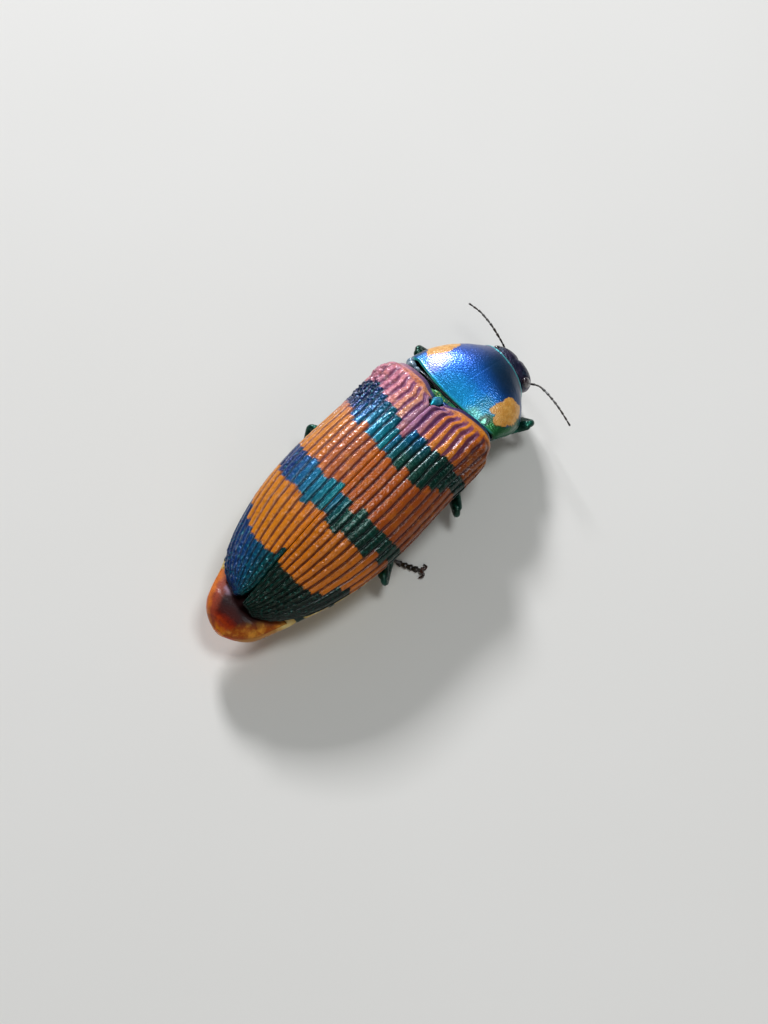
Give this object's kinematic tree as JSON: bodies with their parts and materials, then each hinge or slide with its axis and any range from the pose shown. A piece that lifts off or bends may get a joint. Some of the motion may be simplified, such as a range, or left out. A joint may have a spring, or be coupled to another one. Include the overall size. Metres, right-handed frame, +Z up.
{
  "type": "jewel beetle",
  "caption": "Life-size jewel beetle standing on its six feet, with banded, ribbed wing cases, a domed blue shield behind the head and spread feelers.",
  "frame": {"origin": "on the floor under the middle of the beetle's box, legs and feelers included", "axes": "+Z up, head towards -Y, the beetle's right side towards -X"},
  "size_m": [0.0162, 0.0376, 0.0098],
  "materials": {
    "elytra_orange": "ribbed orange wing-case shell with dark blue-green bands, glossy",
    "metallic_blue": "metallic blue shell with fine pits and yellow side spots",
    "metallic_green": "metallic dark green shell, glossy",
    "belly_yellow": "yellow belly shell with dark bands, satin",
    "tail_red": "dark red-brown shell, glossy",
    "eye_brown": "dark brown faceted eye, glossy",
    "dark_bronze": "black-bronze shell, satin"
  },
  "bodies": {
    "root": {"hind_thorax": "metallic_green", "abdomen": "belly_yellow", "tail_plate": "tail_red", "scutellum": "metallic_green", "prothorax": "metallic_blue", "head": "metallic_green", "elytron_left": "elytra_orange", "elytron_right": "elytra_orange", "eye_left": "eye_brown", "eye_right": "eye_brown", "mandible_left": "dark_bronze", "mandible_right": "dark_bronze", "antenna_left": "dark_bronze", "antenna_right": "dark_bronze", "femur_front_left": "metallic_green", "femur_front_right": "metallic_green", "femur_middle_left": "metallic_green", "femur_middle_right": "metallic_green", "femur_hind_left": "metallic_green", "femur_hind_right": "metallic_green", "tibia_front_left": "metallic_green", "tibia_front_right": "metallic_green", "tibia_middle_left": "metallic_green", "tibia_middle_right": "metallic_green", "tibia_hind_left": "metallic_green", "tibia_hind_right": "metallic_green", "tarsus_front_left": "dark_bronze", "tarsus_front_right": "dark_bronze", "tarsus_middle_left": "dark_bronze", "tarsus_middle_right": "dark_bronze", "tarsus_hind_left": "dark_bronze", "tarsus_hind_right": "dark_bronze"}
  },
  "joints": []
}
